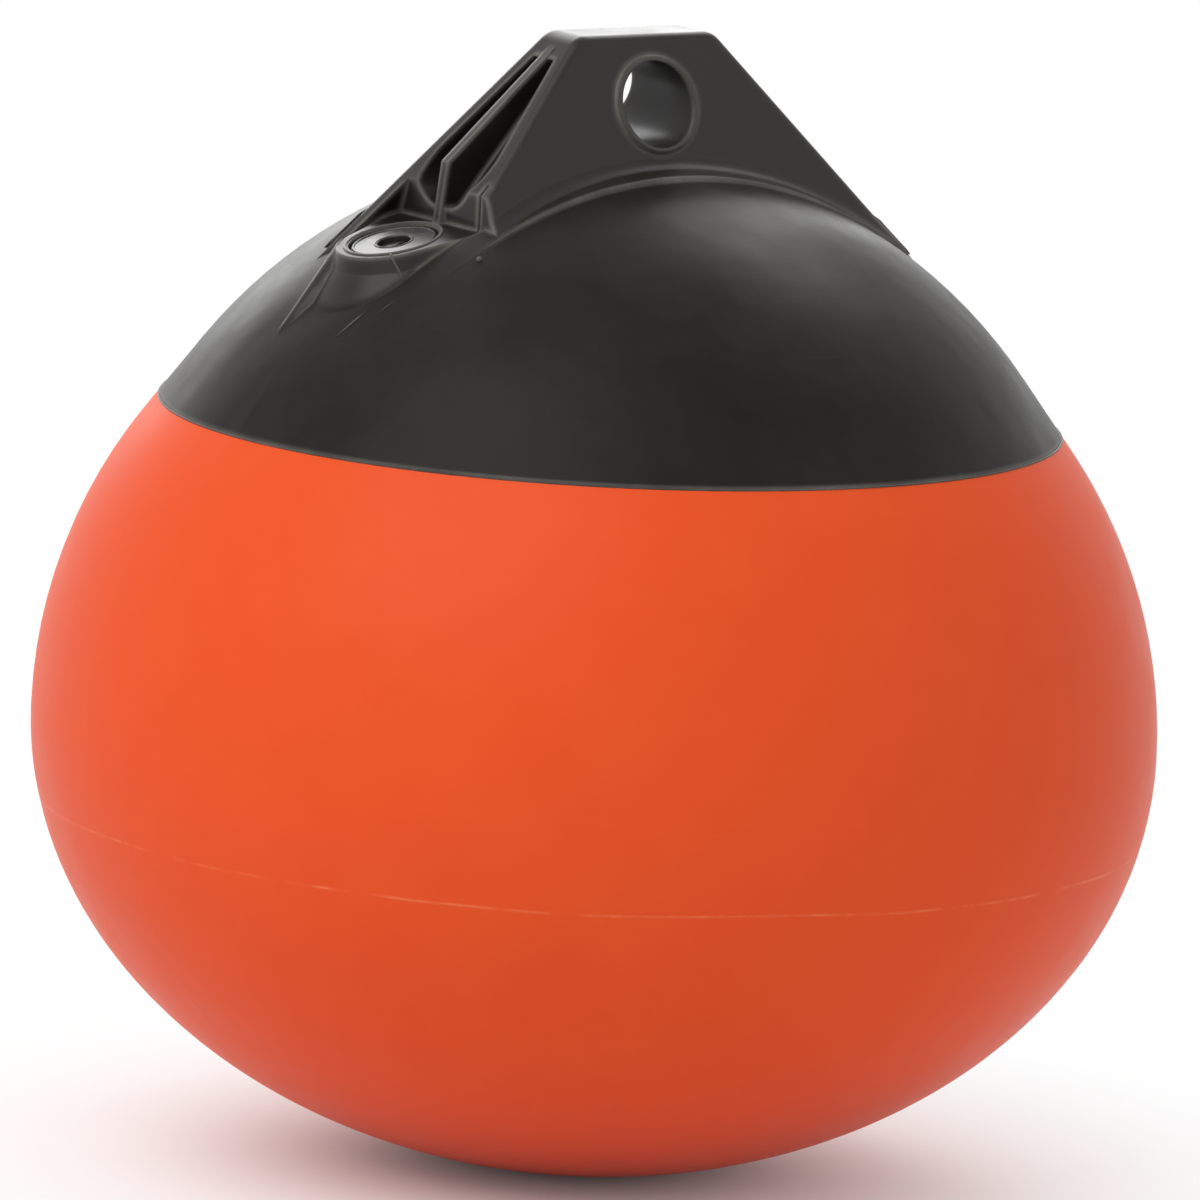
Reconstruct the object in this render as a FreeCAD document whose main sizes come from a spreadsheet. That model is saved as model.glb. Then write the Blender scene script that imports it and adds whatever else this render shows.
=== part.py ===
"""Inflatable mooring buoy: a sealed soft-vinyl float, a moulded ropehold crown and an inflation valve.

Frame: millimetres, +Z up, origin on the ground under the middle of the buoy. The rope eye's bore runs along Y and
the valve sits on the -X shoulder.
"""

import FreeCAD, Part
import math
import os

import Sketcher

Vector = FreeCAD.Vector
doc = FreeCAD.newDocument("mooring_buoy")


# Driving dimensions: lengths in millimetres and slopes in degrees

SIZES = {
    # Float: elliptical bowl, round shoulder, straight flank, spherical top
    "belly_radius": 187.5,
    "belly_height": 146.8,
    "foot_radius": 18.0,
    "shoulder_radius": 166.6,
    "shoulder_turn": 36.5,
    "orange_flank": 8.1,
    "black_flank": 21.8,
    "crown_wall": 5.0,
    # Ropehold block, a wedge with sloping walls and ends; each end runs out at an angle over the dome
    "block_rise": 42.0,
    "block_root": 25.0,
    "end_turn": 31.5,
    "block_top_length": 54.8,
    "block_top_width": 19.0,
    "wall_slope": 18.5,
    "drop_gap": 18.5,
    "slit_offset": 22.4,
    "slit_width": 1.4,
    "slit_depth": 4.0,
    "corner_round": 3.0,
    "end_round": 8.0,
    # Apron and cove that spread the block over the dome
    "apron_width": 68.0,
    "apron_turn": 35.9,
    "apron_rise": 1.6,
    "apron_depth": 14.0,
    "cove_radius": 8.0,
    "cove_bite": 0.15,
    # Rope eye and the bead round each mouth
    "eye_drop": 22.2,
    "eye_radius": 14.0,
    "bead_ring": 15.2,
    "bead_radius": 1.5,
    # Pockets in the ends, and the rib between each pair
    "flange_wall": 6.0,
    "pocket_top_inset": 6.0,
    "pocket_base_inset": 15.0,
    "pocket_top_drop": 8.0,
    "pocket_floor_drop": 56.0,
    "pocket_round": 14.0,
    "rib_width": 4.0,
    "rib_top_drop": 4.0,
    "rib_kink_drop": 41.0,
    "rib_kink_gap": 19.0,
    "rib_foot_gap": 15.5,
    # Shelf for the valve, square to the valve's own axis
    "valve_turn": 32.3,
    "valve_rise": 2.5,
    "valve_tilt": 15.0,
    "shelf_radius": 19.0,
    "shelf_depth": 16.0,
    "shelf_draft": 24.0,
    "shelf_run": 22.0,
    "shelf_spread": 26.0,
    "shelf_headroom": 12.0,
    "skirt_sink": 3.0,
    "skirt_draft": 45.0,
    # Web that runs down the dome from the shelf
    "web_turn": 6.5,
    "web_start_turn": 34.5,
    "web_end_turn": 57.0,
    "web_radius": 7.0,
    "web_rise": 2.0,
    "web_sink": 0.5,
    # Valve seat: a disc with a sleeve through the crown
    "disc_radius": 14.2,
    "disc_thickness": 3.0,
    "disc_sink": 0.8,
    "disc_gap": 0.9,
    "sleeve_radius": 7.5,
    "sleeve_length": 16.0,
    # Screw plug and its washer
    "head_radius": 5.2,
    "head_gap": 0.4,
    "head_height": 2.0,
    "head_sink": 1.6,
    "slot_width": 1.4,
    "slot_depth": 1.3,
    "shank_radius": 3.6,
    "shank_length": 11.0,
    "thread_gap": 0.1,
    "seal_thickness": 1.0,
}

sheet = doc.addObject("Spreadsheet::Sheet", "Sizes")
for row, (alias, value) in enumerate(SIZES.items(), start=1):
    sheet.set(f"A{row}", alias)
    sheet.set(f"B{row}", str(value))
    sheet.setAlias(f"B{row}", alias)
doc.recompute()


# Heights, reaches and radii that follow from the driving dimensions

derived = doc.addObject("App::VarSet", "Derived")


def derive(name, formula):
    derived.addProperty("App::PropertyFloat", name)
    derived.setExpression(name, formula)
    doc.recompute()


def height_of_dome(reach):
    """How high the dome stands at a reach from the axis."""
    return f"Derived.dome_centre + sqrt(Derived.dome_radius ^ 2 - ({reach}) ^ 2)"


def reach_of_end(height):
    """How far the block's sloping end is from the axis at a height."""
    return f"Sizes.block_top_length / 2 + (Derived.block_top - ({height})) * Derived.end_lean"


def reach_of_wall(height):
    """How far the block's front or back wall is from the middle plane at a height."""
    return f"Sizes.block_top_width / 2 + (Derived.block_top - ({height})) * tan(Sizes.wall_slope)"


derive("shoulder_centre", "Sizes.belly_radius - Sizes.shoulder_radius")
derive("flank_reach", "Derived.shoulder_centre + Sizes.shoulder_radius * cos(Sizes.shoulder_turn)")
derive("flank_height", "Sizes.belly_height + Sizes.shoulder_radius * sin(Sizes.shoulder_turn)")
derive("line_reach", "Derived.flank_reach - Sizes.orange_flank * sin(Sizes.shoulder_turn)")
derive("line_height", "Derived.flank_height + Sizes.orange_flank * cos(Sizes.shoulder_turn)")
derive("dome_start_reach", "Derived.line_reach - Sizes.black_flank * sin(Sizes.shoulder_turn)")
derive("dome_start_height", "Derived.line_height + Sizes.black_flank * cos(Sizes.shoulder_turn)")
derive("dome_radius", "Derived.dome_start_reach / cos(Sizes.shoulder_turn)")
derive("dome_centre", "Derived.dome_start_height - Derived.dome_start_reach * tan(Sizes.shoulder_turn)")
derive("dome_top", "Derived.dome_centre + Derived.dome_radius")
derive("block_top", "Derived.dome_top + Sizes.block_rise")
derive("end_reach", "Derived.dome_radius * sin(Sizes.end_turn)")
derive("end_height", "Derived.dome_centre + Derived.dome_radius * cos(Sizes.end_turn)")
derive("end_lean", "(Derived.end_reach - Sizes.block_top_length / 2) / (Derived.block_top - Derived.end_height)")
derive("block_base", "Derived.end_height - Sizes.block_root")
derive("eye_height", "Derived.block_top - Sizes.eye_drop")
derive("apron_reach", "Derived.dome_radius * sin(Sizes.apron_turn)")
derive(
    "apron_lift",
    "((Derived.dome_radius + Sizes.apron_rise) ^ 2 - Derived.dome_radius ^ 2)"
    " / (2 * (Derived.dome_radius + Sizes.apron_rise"
    " - sqrt(Derived.dome_radius ^ 2 - Derived.apron_reach ^ 2)))",
)
derive("apron_centre", "Derived.dome_centre + Derived.apron_lift")
derive("apron_radius", "Derived.dome_radius + Sizes.apron_rise - Derived.apron_lift")
derive(
    "wall_offset",
    "Sizes.block_top_width / 2 * cos(Sizes.wall_slope)"
    " + (Derived.block_top - Derived.apron_centre) * sin(Sizes.wall_slope)",
)
derive("cove_offset", "Derived.wall_offset + Sizes.cove_radius - Sizes.cove_bite")
derive("cove_distance", "Derived.apron_radius + Sizes.cove_radius - Sizes.cove_bite")
derive("cove_ring", "sqrt(Derived.cove_distance ^ 2 - Derived.cove_offset ^ 2)")
derive("cove_foot_share", "1 - Sizes.cove_radius / Derived.cove_distance")
derive("valve_reach", "Derived.dome_radius * sin(Sizes.valve_turn)")
derive("valve_height", f"{height_of_dome('Derived.valve_reach')} + Sizes.valve_rise")
derive("drop_reach", "Derived.valve_reach - Sizes.drop_gap")
derive("drop_height", "Derived.block_top - (Derived.drop_reach - Sizes.block_top_length / 2) / Derived.end_lean")


# Helpers


def size(name):
    return sheet.get(name)


def new_body(name):
    return doc.addObject("PartDesign::Body", name)


def origin_plane(body, role):
    return next(item for item in body.Origin.OriginFeatures if item.Role == role)


def new_sketch(body, name, role, lift=None):
    """A sketch on one of the body's own origin planes, lifted off the plane by a formula."""
    sketch = body.newObject("Sketcher::SketchObject", name)
    sketch.AttachmentSupport = [(origin_plane(body, role), "")]
    sketch.MapMode = "FlatFace"
    if lift:
        sketch.setExpression("AttachmentOffset.Base.z", lift)
    return sketch


def drive(sketch, constraint, formula):
    """Add a constraint whose value is a formula."""
    index = sketch.addConstraint(constraint)
    sketch.setExpression(f"Constraints[{index}]", formula)


def join(sketch, edge, end, other, other_end):
    sketch.addConstraint(Sketcher.Constraint("Coincident", edge, end, other, other_end))


def place_point(sketch, edge, end, across, up):
    """Hold a point of an edge at a distance across and up from the sketch's origin."""
    point = sketch.getPoint(edge, end)
    drive(sketch, Sketcher.Constraint("DistanceX", -1, 1, edge, end, point.x), across)
    drive(sketch, Sketcher.Constraint("DistanceY", -1, 1, edge, end, point.y), up)


def add_polygon(sketch, corners):
    """A closed polygon whose corners are pairs of formulas, listed anticlockwise."""
    count = len(corners)
    first = sketch.GeometryCount
    ring = [
        Vector(math.cos(2 * math.pi * i / count), math.sin(2 * math.pi * i / count), 0) * 100
        for i in range(count)
    ]
    for i in range(count):
        sketch.addGeometry(Part.LineSegment(ring[i], ring[(i + 1) % count]), False)
    for i, (across, up) in enumerate(corners):
        join(sketch, first + i, 2, first + (i + 1) % count, 1)
        place_point(sketch, first + i, 1, across, up)
    return first


def add_circle(sketch, radius, across="0", up="0"):
    circle = sketch.addGeometry(Part.Circle(Vector(1, 1, 0), Vector(0, 0, 1), 10), False)
    drive(sketch, Sketcher.Constraint("Radius", circle, 10), radius)
    place_point(sketch, circle, 3, across, up)


def feature(body, kind, name, sketch):
    made = body.newObject(f"PartDesign::{kind}", name)
    made.Profile = sketch
    return made


def pad_across(body, name, sketch, length):
    """Pad a sketch by half the length to each side of its plane."""
    pad = feature(body, "Pad", name, sketch)
    pad.Midplane = True
    pad.setExpression("Length", length)


def turn_about(body, name, sketch, axis, angle="360"):
    turned = feature(body, "Revolution", name, sketch)
    turned.ReferenceAxis = (sketch, [axis])
    turned.Midplane = True
    turned.setExpression("Angle", angle)


def combine(kind, name, base, tool):
    made = doc.addObject(f"Part::{kind}", name)
    made.Base = base
    made.Tool = tool
    return made


def fuse(name, pieces):
    made = doc.addObject("Part::MultiFuse", name)
    made.Shapes = pieces
    made.Refine = True
    return made


def round_edges(name, base, radius, wanted):
    """Fillet the edges of a finished shape whose two ends, in the shape's own frame, both pass a test."""
    doc.recompute()
    made = doc.addObject("Part::Fillet", name)
    made.Base = base
    own_frame = base.Placement.inverse()
    picked = []
    for number, edge in enumerate(base.Shape.Edges, start=1):
        ends = [own_frame.multVec(vertex.Point) for vertex in edge.Vertexes]
        if len(ends) == 2 and wanted(*ends):
            picked.append((number, radius, radius))
    made.Edges = picked
    return made


def mirror(name, source):
    """The same shape on the other side of the middle plane."""
    made = doc.addObject("Part::Mirroring", name)
    made.Source = source
    made.Normal = (0, 1, 0)
    return made


def lean_to_wall(piece, out, up):
    """Turn a piece's own Z axis square to the back wall and set its origin at a reach and a height."""
    piece.Placement = FreeCAD.Placement(Vector(0, 1, 1), FreeCAD.Rotation(Vector(-1, 0, 0), 80))
    piece.setExpression("Placement.Base.y", out)
    piece.setExpression("Placement.Base.z", up)
    piece.setExpression("Placement.Rotation.Angle", "(90 - Sizes.wall_slope) * 1 deg")


def set_on_shelf(piece):
    """Put a piece's own origin in the middle of the valve's shelf, with its Z axis square to the shelf."""
    piece.Placement = FreeCAD.Placement(Vector(1, 0, 1), FreeCAD.Rotation(Vector(0, -1, 0), 10))
    piece.setExpression("Placement.Base.x", "-Derived.valve_reach")
    piece.setExpression("Placement.Base.z", "Derived.valve_height")
    piece.setExpression("Placement.Rotation.Angle", "Sizes.valve_tilt * 1 deg")


# Float


def add_flank_and_dome(sketch, before, inset):
    """The straight flank that starts where an edge ends, and the arc over the top that it runs into."""
    turn = math.radians(size("shoulder_turn"))
    radius = derived.dome_radius - (size(inset) if inset else 0)
    centre = Vector(0, derived.dome_centre, 0)
    flank_end = centre + Vector(math.cos(turn), math.sin(turn), 0) * radius
    flank = sketch.addGeometry(Part.LineSegment(sketch.getPoint(before, 2), flank_end), False)
    whole = Part.Circle(centre, Vector(0, 0, 1), radius)
    arc = sketch.addGeometry(Part.ArcOfCircle(whole, turn, math.pi / 2), False)
    join(sketch, before, 2, flank, 1)
    sketch.addConstraint(Sketcher.Constraint("Tangent", flank, 2, arc, 1))
    sketch.addConstraint(Sketcher.Constraint("PointOnObject", arc, 3, -2))
    sketch.addConstraint(Sketcher.Constraint("PointOnObject", arc, 2, -2))
    drive(
        sketch,
        Sketcher.Constraint("Angle", -1, 1, flank, 1, math.pi / 2 + turn),
        "(90 + Sizes.shoulder_turn) * 1 deg",
    )
    top = f"Derived.dome_top - Sizes.{inset}" if inset else "Derived.dome_top"
    drive(sketch, Sketcher.Constraint("DistanceY", -1, 1, arc, 2, centre.y + radius), top)
    return arc


def add_bowl(sketch):
    """The elliptical arc from the flat foot out to the belly."""
    belly = size("belly_radius")
    height = size("belly_height")
    foot = size("foot_radius")
    depth = height / math.sqrt(1 - (foot / belly) ** 2)
    ellipse = Part.Ellipse(Vector(0, height, 0), belly, depth)
    bowl = sketch.addGeometry(Part.ArcOfEllipse(ellipse, -math.acos(foot / belly), 0), False)
    sketch.exposeInternalGeometry(bowl)
    long_axis = bowl + 1
    sketch.addConstraint(Sketcher.Constraint("Horizontal", long_axis))
    sketch.addConstraint(Sketcher.Constraint("PointOnObject", bowl, 3, -2))
    drive(sketch, Sketcher.Constraint("DistanceY", -1, 1, bowl, 3, height), "Sizes.belly_height")
    sketch.addConstraint(Sketcher.Constraint("PointOnObject", bowl, 1, -1))
    drive(sketch, Sketcher.Constraint("DistanceX", -1, 1, bowl, 1, foot), "Sizes.foot_radius")
    place_point(sketch, bowl, 2, "Sizes.belly_radius", "Sizes.belly_height")
    return bowl


def add_shoulder(sketch, bowl):
    """The arc above the belly and the last of the orange flank, up to the colour line."""
    turn = math.radians(size("shoulder_turn"))
    radius = size("shoulder_radius")
    centre = Vector(derived.shoulder_centre, size("belly_height"), 0)
    shoulder = sketch.addGeometry(
        Part.ArcOfCircle(Part.Circle(centre, Vector(0, 0, 1), radius), 0, turn), False
    )
    join(sketch, bowl, 2, shoulder, 1)
    place_point(sketch, shoulder, 3, "Derived.shoulder_centre", "Sizes.belly_height")
    flank_height = Sketcher.Constraint("DistanceY", -1, 1, shoulder, 2, derived.flank_height)
    drive(sketch, flank_height, "Derived.flank_height")
    line_point = Vector(derived.line_reach, derived.line_height, 0)
    flank = sketch.addGeometry(Part.LineSegment(sketch.getPoint(shoulder, 2), line_point), False)
    join(sketch, shoulder, 2, flank, 1)
    place_point(sketch, flank, 2, "Derived.line_reach", "Derived.line_height")
    return flank


def make_float_blank():
    """The sealed float. Above the colour line it is drawn in by the crown's wall, where the crown is fused on."""
    body = new_body("float_blank")
    sketch = new_sketch(body, "float_outline", "XZ_Plane")
    bowl = add_bowl(sketch)
    flank = add_shoulder(sketch, bowl)
    turn = math.radians(size("shoulder_turn"))
    inward = Vector(-math.cos(turn), -math.sin(turn), 0) * size("crown_wall")
    line_point = sketch.getPoint(flank, 2)
    ledge = sketch.addGeometry(Part.LineSegment(line_point, line_point + inward), False)
    join(sketch, flank, 2, ledge, 1)
    place_point(
        sketch,
        ledge,
        2,
        "Derived.line_reach - Sizes.crown_wall * cos(Sizes.shoulder_turn)",
        "Derived.line_height - Sizes.crown_wall * sin(Sizes.shoulder_turn)",
    )
    dome = add_flank_and_dome(sketch, ledge, "crown_wall")
    axis = sketch.addGeometry(Part.LineSegment(sketch.getPoint(dome, 2), Vector(0, 0, 0)), False)
    join(sketch, dome, 2, axis, 1)
    join(sketch, axis, 2, -1, 1)
    base = sketch.addGeometry(Part.LineSegment(Vector(0, 0, 0), sketch.getPoint(bowl, 1)), False)
    join(sketch, axis, 2, base, 1)
    join(sketch, base, 2, bowl, 1)
    turn_about(body, "float_turned", sketch, "V_Axis")
    return body


# Ropehold crown


def make_dome():
    """The cap above the colour line, still filled, with its rim square to the flank."""
    body = new_body("dome_blank")
    sketch = new_sketch(body, "dome_outline", "XZ_Plane")
    turn = math.radians(size("shoulder_turn"))
    line_point = Vector(derived.line_reach, derived.line_height, 0)
    rim_root = Vector(0, derived.line_height - derived.line_reach * math.tan(turn), 0)
    rim = sketch.addGeometry(Part.LineSegment(rim_root, line_point), False)
    place_point(
        sketch, rim, 1, "0", "Derived.line_height - Derived.line_reach * tan(Sizes.shoulder_turn)"
    )
    place_point(sketch, rim, 2, "Derived.line_reach", "Derived.line_height")
    dome = add_flank_and_dome(sketch, rim, None)
    axis = sketch.addGeometry(Part.LineSegment(sketch.getPoint(dome, 2), rim_root), False)
    join(sketch, dome, 2, axis, 1)
    join(sketch, axis, 2, rim, 1)
    turn_about(body, "dome_turned", sketch, "V_Axis")
    return body


def make_side_view(name, drop=True):
    """The ropehold seen from the front: a flat top with round corners and two sloping ends.

    The left end is cut off by a straight drop.
    """
    body = new_body(name)
    sketch = new_sketch(body, f"{name}_outline", "XZ_Plane")
    right = [
        (reach_of_end("Derived.block_base"), "Derived.block_base"),
        ("Sizes.block_top_length / 2", "Derived.block_top"),
        ("-Sizes.block_top_length / 2", "Derived.block_top"),
    ]
    left = [(f"-({reach_of_end('Derived.block_base')})", "Derived.block_base")]
    if drop:
        left = [("-Derived.drop_reach", "Derived.drop_height"), ("-Derived.drop_reach", "Derived.block_base")]
    add_polygon(sketch, right + left)
    pad_across(body, f"{name}_pad", sketch, "Sizes.apron_width")
    half_top = size("block_top_length") / 2

    def is_top_corner(start, end):
        return all(is_at_top(point) and abs(abs(point.x) - half_top) < 0.01 for point in (start, end))

    return round_edges(f"rounded_{name}", body, size("end_round"), is_top_corner)


def make_wedge():
    """The ropehold seen from the end: two walls that lean together."""
    body = new_body("wedge")
    sketch = new_sketch(body, "wedge_outline", "YZ_Plane")
    half_base = reach_of_wall("Derived.block_base")
    corners = [
        (f"-({half_base})", "Derived.block_base"),
        (half_base, "Derived.block_base"),
        ("Sizes.block_top_width / 2", "Derived.block_top"),
        ("-Sizes.block_top_width / 2", "Derived.block_top"),
    ]
    add_polygon(sketch, corners)
    pad_across(body, "wedge_pad", sketch, f"3 * ({reach_of_end('Derived.block_base')})")
    return body


def make_back_flange(side_view):
    """The back flange goes on past the drop, down the slope to the dome."""
    body = new_body("back_flange")
    sketch = new_sketch(body, "flange_outline", "YZ_Plane")
    flange = "Sizes.flange_wall / cos(Sizes.wall_slope)"
    corners = [
        (f"{reach_of_wall('Derived.block_base')} - {flange}", "Derived.block_base"),
        (reach_of_wall("Derived.block_base"), "Derived.block_base"),
        (reach_of_wall("Derived.drop_height"), "Derived.drop_height"),
        (f"{reach_of_wall('Derived.drop_height')} - {flange}", "Derived.drop_height"),
    ]
    add_polygon(sketch, corners)
    pad = feature(body, "Pad", "flange_pad", sketch)
    pad.setExpression("Length", reach_of_end("Derived.block_base"))
    pad.Reversed = True
    trimmed = combine("Common", "trimmed_flange", side_view, body)
    return round_edges("rounded_flange", trimmed, size("corner_round"), is_wall_outline)


def is_on_wall(point):
    """Whether a point lies on the front or the back wall."""
    half_top = size("block_top_width") / 2
    lean = math.tan(math.radians(size("wall_slope")))
    return abs(abs(point.y) - half_top - (derived.block_top - point.z) * lean) < 0.01


def is_at_top(point):
    """Whether a point is as high as the block's flat top."""
    return abs(point.z - derived.block_top) < 0.01


def is_wall_outline(start, end):
    """Whether an edge is one where a wall meets a sloping end, a round corner or the top."""
    both_on_wall = is_on_wall(start) and is_on_wall(end)
    return both_on_wall and abs(start.x - end.x) > 1 and (abs(start.z - end.z) > 1 or is_at_top(start))


def make_block(side_view):
    """The solid block, with the outline of both its walls rounded."""
    block = combine("Common", "sharp_block", side_view, make_wedge())
    return round_edges("block", block, size("corner_round"), is_wall_outline)


def make_apron():
    """A band between two upright planes, raised at the top of the dome and running out on it at both ends."""
    body = new_body("apron")
    sketch = new_sketch(body, "apron_outline", "XZ_Plane")
    reach = derived.apron_reach
    radius = derived.apron_radius
    centre = Vector(0, derived.apron_centre, 0)
    side_angle = math.acos(reach / radius)
    whole = Part.Circle(centre, Vector(0, 0, 1), radius)
    arc = sketch.addGeometry(Part.ArcOfCircle(whole, side_angle, math.pi / 2), False)
    base_height = sketch.getPoint(arc, 1).y
    axis = sketch.addGeometry(Part.LineSegment(sketch.getPoint(arc, 2), Vector(0, base_height, 0)), False)
    base = sketch.addGeometry(
        Part.LineSegment(Vector(0, base_height, 0), Vector(reach, base_height, 0)), False
    )
    join(sketch, arc, 2, axis, 1)
    join(sketch, axis, 2, base, 1)
    join(sketch, base, 2, arc, 1)
    place_point(sketch, arc, 3, "0", "Derived.apron_centre")
    drive(sketch, Sketcher.Constraint("Radius", arc, radius), "Derived.apron_radius")
    sketch.addConstraint(Sketcher.Constraint("PointOnObject", arc, 2, -2))
    sketch.addConstraint(Sketcher.Constraint("Vertical", axis))
    sketch.addConstraint(Sketcher.Constraint("Horizontal", base))
    drive(sketch, Sketcher.Constraint("DistanceX", -1, 1, base, 2, reach), "Derived.apron_reach")
    turn_about(body, "apron_turned", sketch, "V_Axis")
    band = doc.addObject("Part::Box", "apron_band")
    band.setExpression("Length", "2 * Derived.dome_radius")
    band.setExpression("Width", "Sizes.apron_width")
    band.setExpression("Height", "Derived.block_top")
    band.setExpression("Placement.Base.x", "-Derived.dome_radius")
    band.setExpression("Placement.Base.y", "-Sizes.apron_width / 2")
    return combine("Common", "trimmed_apron", band, body)


def make_cove():
    """The hollow corner between the back wall and the apron: a ring turned about an axis square to the wall."""
    body = new_body("cove")
    lean_to_wall(body, "0", "Derived.apron_centre")
    sketch = new_sketch(body, "cove_outline", "YZ_Plane")
    radius = size("cove_radius")
    ring = derived.cove_ring
    offset = derived.cove_offset
    foot = Vector(-ring, offset, 0) * derived.cove_foot_share
    root = Vector(foot.x, offset - radius, 0)
    end_angle = 2 * math.pi - math.atan2(offset, ring)
    whole = Part.Circle(Vector(-ring, offset, 0), Vector(0, 0, 1), radius)
    arc = sketch.addGeometry(Part.ArcOfCircle(whole, 1.5 * math.pi, end_angle), False)
    to_root = sketch.addGeometry(Part.LineSegment(foot, root), False)
    to_wall = sketch.addGeometry(Part.LineSegment(root, Vector(-ring, root.y, 0)), False)
    join(sketch, arc, 2, to_root, 1)
    join(sketch, to_root, 2, to_wall, 1)
    join(sketch, to_wall, 2, arc, 1)
    place_point(sketch, arc, 3, "-Derived.cove_ring", "Derived.cove_offset")
    foot_reach = "-Derived.cove_ring * Derived.cove_foot_share"
    root_offset = "Derived.cove_offset - Sizes.cove_radius"
    place_point(sketch, arc, 1, "-Derived.cove_ring", root_offset)
    drive(sketch, Sketcher.Constraint("DistanceX", -1, 1, arc, 2, foot.x), foot_reach)
    place_point(sketch, to_root, 2, foot_reach, root_offset)
    reach = reach_of_end("Derived.block_base")
    turn_about(body, "cove_turned", sketch, "V_Axis", f"2 * asin(({reach}) / Derived.cove_ring)")
    return body


def make_bead():
    """The raised ring round the back mouth of the rope eye."""
    bead = doc.addObject("Part::Torus", "bead")
    bead.setExpression("Radius1", "Sizes.bead_ring")
    bead.setExpression("Radius2", "Sizes.bead_radius")
    lean_to_wall(bead, reach_of_wall("Derived.eye_height"), "Derived.eye_height")
    return bead


def make_trim(name, cove, side_view):
    """Everything that stands out of the back wall: the cove, trimmed to the side view, and the bead."""
    trimmed = combine("Common", f"{name}_cove", side_view, cove)
    return fuse(name, [trimmed, make_bead()])


def make_slit():
    """The narrow slit beside the foot of the front flange."""
    slit = doc.addObject("Part::Box", "slit")
    slit.setExpression("Length", "2 * Sizes.slit_depth")
    slit.setExpression("Width", "Sizes.slit_width")
    slit.setExpression("Height", "Sizes.shelf_depth")
    slit.setExpression("Placement.Base.x", "-Derived.drop_reach - Sizes.slit_depth")
    slit.setExpression("Placement.Base.y", "-Sizes.slit_offset")
    slit.setExpression("Placement.Base.z", "Derived.valve_height + Sizes.slit_depth")
    return slit


def make_web():
    """The ridge that runs down the dome from the shelf and fades out: a long cone that dips into the dome."""
    body = new_body("web")
    body.Placement = FreeCAD.Placement(Vector(0, 0, 0), FreeCAD.Rotation(Vector(0, 0, 1), 100))
    body.setExpression("Placement.Rotation.Angle", "(180 - Sizes.web_turn) * 1 deg")
    sketch = new_sketch(body, "web_outline", "XZ_Plane")
    first_radius = "(Derived.dome_radius + Sizes.web_rise)"
    last_radius = "(Derived.dome_radius - Sizes.web_sink)"
    middle = "(Sizes.web_start_turn + Sizes.web_end_turn) / 2"
    start = f"{first_radius} * sin(Sizes.web_start_turn)"
    start_height = f"Derived.dome_centre + {first_radius} * cos(Sizes.web_start_turn)"
    end = f"{last_radius} * sin(Sizes.web_end_turn)"
    end_height = f"Derived.dome_centre + {last_radius} * cos(Sizes.web_end_turn)"
    corners = [
        (start, start_height),
        (end, end_height),
        (
            f"{start} + Sizes.web_radius * sin({middle})",
            f"{start_height} + Sizes.web_radius * cos({middle})",
        ),
    ]
    add_polygon(sketch, corners)
    axis = sketch.addGeometry(Part.LineSegment(Vector(10, 0, 0), Vector(20, 0, 0)), True)
    place_point(sketch, axis, 1, start, start_height)
    place_point(sketch, axis, 2, end, end_height)
    turn_about(body, "web_turned", sketch, "Axis0")
    return body


def make_eye_bore():
    """The straight bore of the rope eye."""
    bore = doc.addObject("Part::Cylinder", "eye_bore")
    bore.setExpression("Radius", "Sizes.eye_radius")
    bore.setExpression("Height", "2 * Sizes.apron_width")
    bore.Placement = FreeCAD.Placement(Vector(0, 1, 1), FreeCAD.Rotation(Vector(1, 0, 0), 90))
    bore.setExpression("Placement.Base.y", "Sizes.apron_width")
    bore.setExpression("Placement.Base.z", "Derived.eye_height")
    return bore


def make_pockets():
    """The four end pockets. They are open outwards, and they get deeper towards the foot of the block."""
    top = "Derived.block_top - Sizes.pocket_top_drop"
    floor = "Derived.block_top - Sizes.pocket_floor_drop"
    flange = "Sizes.flange_wall / cos(Sizes.wall_slope)"
    mouths = new_body("pocket_mouths")
    sketch = new_sketch(mouths, "mouth_outline", "YZ_Plane")
    for side in ("", "-"):
        corners = [
            (f"{side}(Sizes.rib_width / 2)", floor),
            (f"{side}({reach_of_wall(floor)} - {flange})", floor),
            (f"{side}({reach_of_wall(top)} - {flange})", top),
            (f"{side}(Sizes.rib_width / 2)", top),
        ]
        add_polygon(sketch, corners)
    end_reach = reach_of_end("Derived.block_base")
    pad_across(mouths, "mouth_pad", sketch, f"3 * ({end_reach})")
    floor_height = derived.block_top - size("pocket_floor_drop")
    corner_reach = size("rib_width")

    def is_outer_corner(start, end):
        return all(abs(p.z - floor_height) < 0.01 and abs(p.y) > corner_reach for p in (start, end))

    rounded = round_edges("rounded_mouths", mouths, size("pocket_round"), is_outer_corner)
    outside = new_body("outside_of_pockets")
    sketch = new_sketch(outside, "outside_outline", "XZ_Plane")
    for side in ("", "-"):
        corners = [
            (f"{side}({reach_of_end('Derived.block_base')} - Sizes.pocket_base_inset)", "Derived.block_base"),
            (f"{side}(2 * ({end_reach}))", "Derived.block_base"),
            (f"{side}(2 * ({end_reach}))", "Derived.block_top"),
            (f"{side}({reach_of_end('Derived.block_top')} - Sizes.pocket_top_inset)", "Derived.block_top"),
        ]
        add_polygon(sketch, corners)
    pad_across(outside, "outside_pad", sketch, "2 * Sizes.apron_width")
    return combine("Common", "pockets", rounded, outside)


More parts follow.
